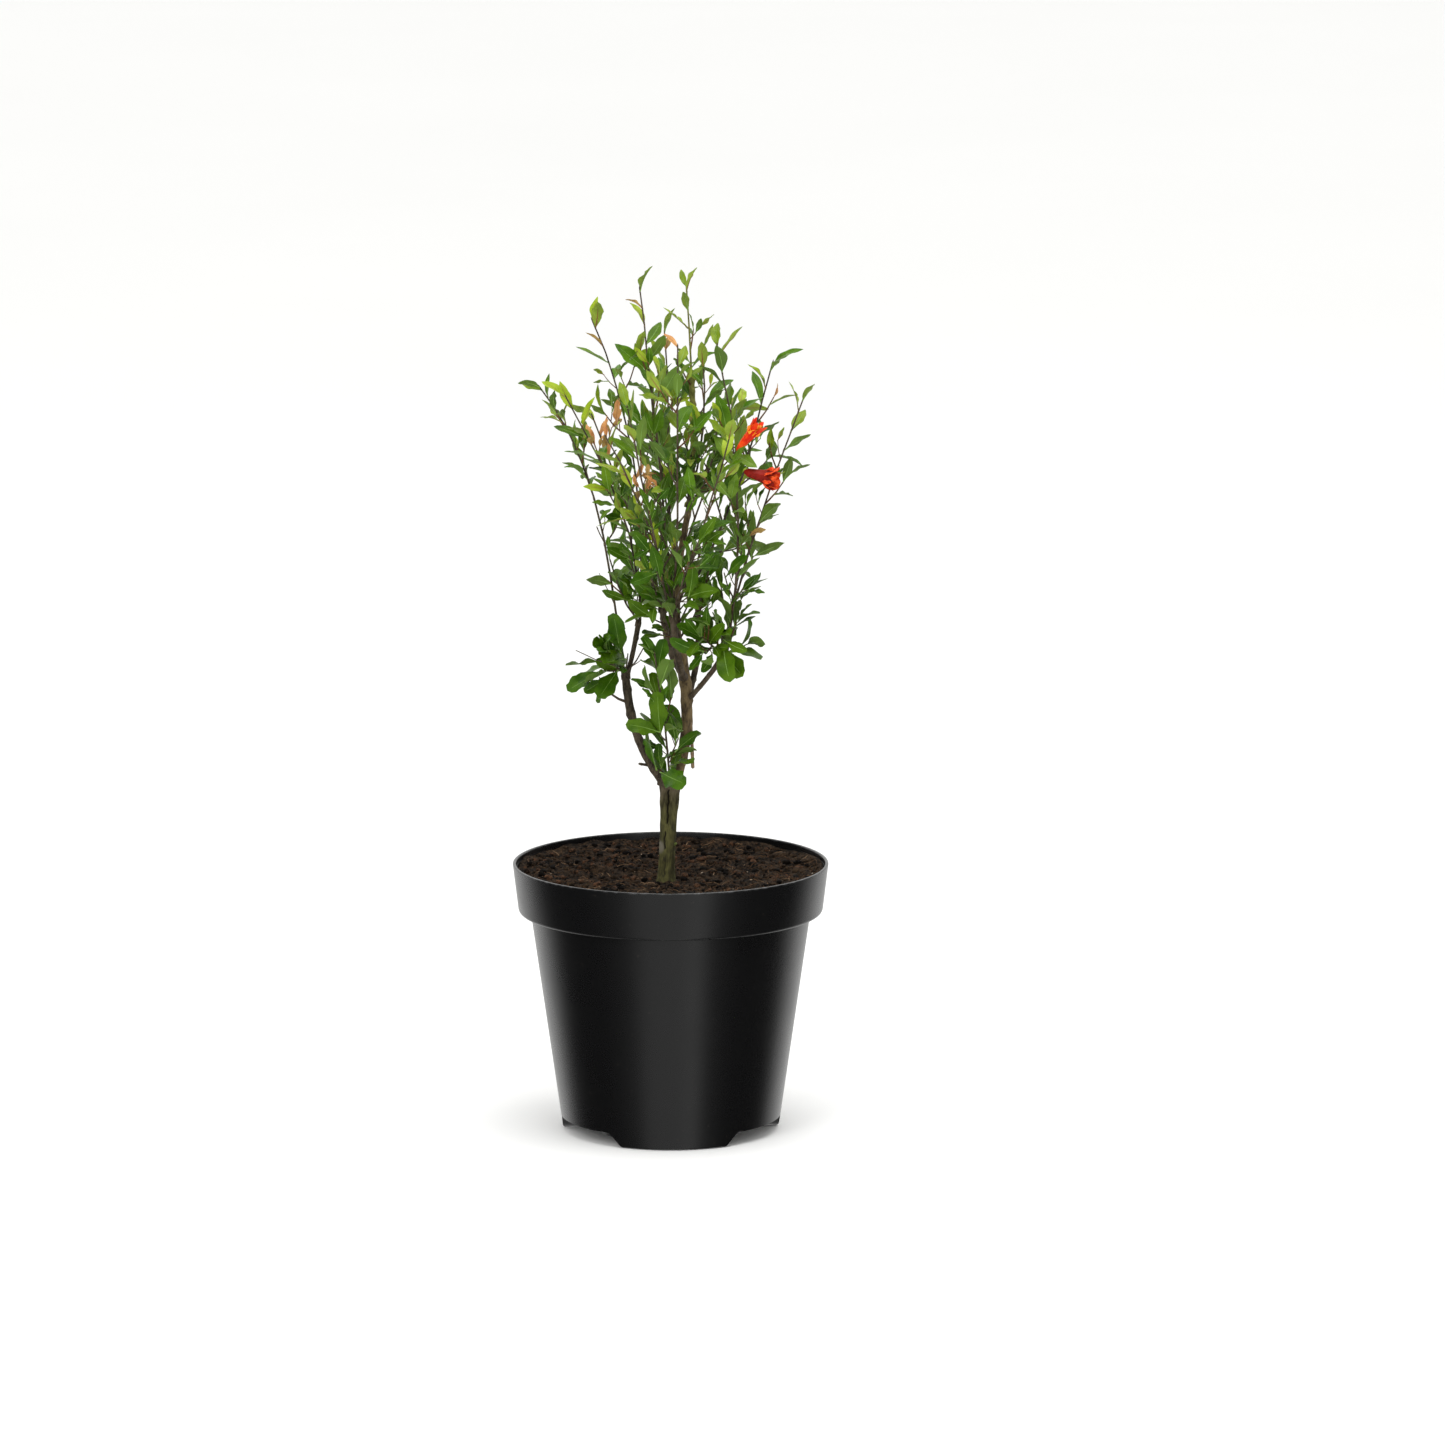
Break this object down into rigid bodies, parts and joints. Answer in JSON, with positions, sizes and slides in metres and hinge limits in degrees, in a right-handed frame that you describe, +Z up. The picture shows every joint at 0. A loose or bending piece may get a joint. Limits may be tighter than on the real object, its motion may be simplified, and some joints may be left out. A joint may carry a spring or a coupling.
{
  "type": "potted pomegranate tree",
  "caption": "Young pomegranate tree with a bushy, open crown of small glossy leaves and orange-red blossom, in a round black nursery pot filled with soil.",
  "frame": {"origin": "centre of the pot's flat underside, on the floor", "axes": "+Z up; +X to the viewer's right and +Y away from the viewer in the usual front view"},
  "size_m": [0.24, 0.24, 0.6678],
  "materials": {
    "pot": "satin black",
    "soil": "damp fibrous peat",
    "bark": "rough bark",
    "foliage": "glossy leaves"
  },
  "bodies": {
    "root": {"pot": "pot", "soil": "soil", "trunk": "bark", "bough_left": "bark", "bough_leader": "bark", "bough_left_inner": "bark", "bough_leader_upper": "bark", "bough_right": "bark", "bough_cross": "bark", "bough_back": "bark", "bough_front": "bark", "foliage_low_centre": "foliage", "foliage_low_left": "foliage", "foliage_left_outer": "foliage", "foliage_left_mid": "foliage", "foliage_left_upper": "foliage", "foliage_mid_left": "foliage", "foliage_centre_left": "foliage", "foliage_front_young": "foliage", "foliage_centre": "foliage", "foliage_mid_centre": "foliage", "foliage_leader": "foliage", "foliage_cut_back": "foliage", "foliage_right_mid": "foliage", "foliage_right_inner": "foliage", "foliage_right_outer": "foliage", "foliage_low_right": "foliage", "foliage_mid_right": "foliage", "foliage_right_tip": "foliage", "foliage_cross": "foliage", "foliage_back_left": "foliage", "foliage_back_centre": "foliage", "foliage_back_right": "foliage", "foliage_back_low": "foliage", "foliage_mid_back": "foliage", "foliage_front_left": "foliage", "foliage_front_centre": "foliage", "foliage_front_right": "foliage", "foliage_front_low": "foliage"}
  },
  "joints": []
}
